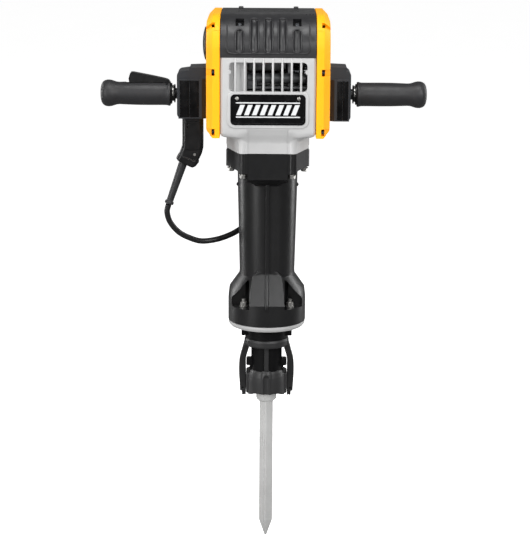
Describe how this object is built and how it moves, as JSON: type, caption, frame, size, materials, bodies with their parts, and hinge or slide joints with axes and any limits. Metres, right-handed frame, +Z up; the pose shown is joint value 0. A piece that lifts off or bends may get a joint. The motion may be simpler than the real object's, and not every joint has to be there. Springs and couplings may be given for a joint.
{
  "type": "demolition hammer",
  "caption": "electric demolition hammer with yellow and black head, side handles, trailing cord, long barrel, swinging chisel retainer and a hexagonal pointed chisel",
  "frame": {"origin": "centre of the small flat at the chisel's tip", "axes": "+Z up the hammer axis from tip to head, +X towards the plain handle, -Y towards the front grille"},
  "size_m": [0.662, 0.2284, 1.128],
  "materials": {
    "yellow_shell": "moulded, satin",
    "cast_silver": "cast and painted silver",
    "black_plastic": "fine moulded texture",
    "name_plate": "smooth, blank",
    "black_casting": "painted black",
    "black_alloy": "cast and painted black",
    "rubber": "matt",
    "steel": "ground",
    "dark_steel": "hardened, dark",
    "laminated_steel": "stacked sheet steel",
    "bronze": "cast bushing metal",
    "copper": "segmented copper"
  },
  "bodies": {
    "machine": {"gear_case": "cast_silver", "rear_cover": "black_plastic", "top_hood": "black_plastic", "side_cover_left": "yellow_shell", "side_cover_right": "yellow_shell", "name_plate": "name_plate", "intake_cap": "black_plastic", "barrel_housing": "black_alloy", "flange_ring": "cast_silver", "nose_piece": "black_casting", "hex_bushing": "bronze", "cylinder_sleeve": "steel", "buffer_ring": "rubber", "dust_seal": "rubber", "crank_bearing_inner": "steel", "crank_bearing_outer": "steel", "layshaft_bearing_inner": "steel", "layshaft_bearing_outer": "steel", "motor_bearing_left": "steel", "motor_bearing_right": "steel", "motor_stator": "laminated_steel", "handle_bracket_left": "black_plastic", "handle_bracket_right": "black_plastic", "pivot_pin_left": "steel", "pivot_pin_right": "steel", "switch_block": "black_plastic", "cord_boot": "black_plastic", "cord_relief": "rubber", "power_cord": "rubber", "power_plug": "rubber", "collar_bolt_1": "steel", "collar_bolt_2": "steel", "collar_bolt_3": "steel", "collar_bolt_4": "steel", "flange_bolt_1": "steel", "flange_bolt_2": "steel", "flange_bolt_3": "steel", "flange_bolt_4": "steel"},
    "crank": {"crankshaft": "dark_steel", "crank_gear": "steel"},
    "layshaft_set": {"layshaft": "dark_steel", "layshaft_gear": "steel"},
    "rotor": {"armature": "laminated_steel", "commutator": "copper", "cooling_fan": "black_plastic"},
    "piston": {"drive_piston": "steel", "wrist_pin": "steel"},
    "con_rod": {"connecting_rod": "dark_steel", "crank_pin": "steel"},
    "ram": {"ram": "dark_steel"},
    "beat_piece": {"beat_piece": "dark_steel"},
    "chisel": {"chisel_bit": "steel"},
    "retainer": {"retainer_bail": "black_casting", "retainer_shaft": "steel"},
    "handle_left": {"handle_arm_left": "dark_steel", "grip_left": "rubber", "trigger_pin": "steel"},
    "handle_right": {"handle_arm_right": "dark_steel", "grip_right": "rubber"},
    "trigger": {"trigger": "black_plastic"}
  },
  "joints": [
    {"name": "crank_spin", "type": "hinge", "parent": "machine", "child": "crank", "pos_m": [0, 0, 0.925], "axis": [1, 0, 0], "continuous": true},
    {"name": "layshaft_spin", "type": "hinge", "parent": "machine", "child": "layshaft_set", "pos_m": [0, 0.01146, 1.00519], "axis": [1, 0, 0], "continuous": true},
    {"name": "rotor_spin", "type": "hinge", "parent": "machine", "child": "rotor", "pos_m": [0, 0, 1.06], "axis": [1, 0, 0], "continuous": true},
    {"name": "piston_slide", "type": "slide", "parent": "machine", "child": "piston", "axis": [0, 0, -1], "range_m": [0, 0.05], "stiffness_N_per_m": 2000, "springref_m": -0.02},
    {"name": "con_rod_swing", "type": "hinge", "parent": "piston", "child": "con_rod", "pos_m": [0, 0, 0.828], "axis": [1, 0, 0], "range_deg": [-11.8, 11.8]},
    {"name": "ram_slide", "type": "slide", "parent": "machine", "child": "ram", "axis": [0, 0, 1], "range_m": [0, 0.045]},
    {"name": "chisel_slide", "type": "slide", "parent": "machine", "child": "chisel", "axis": [0, 0, 1], "range_m": [0, 0.018]},
    {"name": "beat_piece_slide", "type": "slide", "parent": "machine", "child": "beat_piece", "axis": [0, 0, 1], "range_m": [0, 0.018]},
    {"name": "retainer_swing", "type": "hinge", "parent": "machine", "child": "retainer", "pos_m": [0, 0.029, 0.333], "axis": [1, 0, 0], "range_deg": [0, 110]},
    {"name": "handle_left_rock", "type": "hinge", "parent": "machine", "child": "handle_left", "pos_m": [-0.15, 0, 0.96], "axis": [0, 1, 0], "range_deg": [-4, 4], "stiffness_Nm_per_rad": 120},
    {"name": "handle_right_rock", "type": "hinge", "parent": "machine", "child": "handle_right", "pos_m": [0.15, 0, 0.96], "axis": [0, 1, 0], "range_deg": [-4, 4], "stiffness_Nm_per_rad": 120},
    {"name": "trigger_press", "type": "hinge", "parent": "handle_left", "child": "trigger", "pos_m": [-0.207, 0, 0.9815], "axis": [0, -1, 0], "range_deg": [0, 6], "stiffness_Nm_per_rad": 0.5, "springref_deg": -11.46}
  ],
  "couplings": [
    {"joint": "layshaft_spin", "follows": "crank_spin", "ratio": -3.5},
    {"joint": "rotor_spin", "follows": "crank_spin", "ratio": 18.278},
    {"joint": "beat_piece_slide", "follows": "chisel_slide", "ratio": 1}
  ]
}
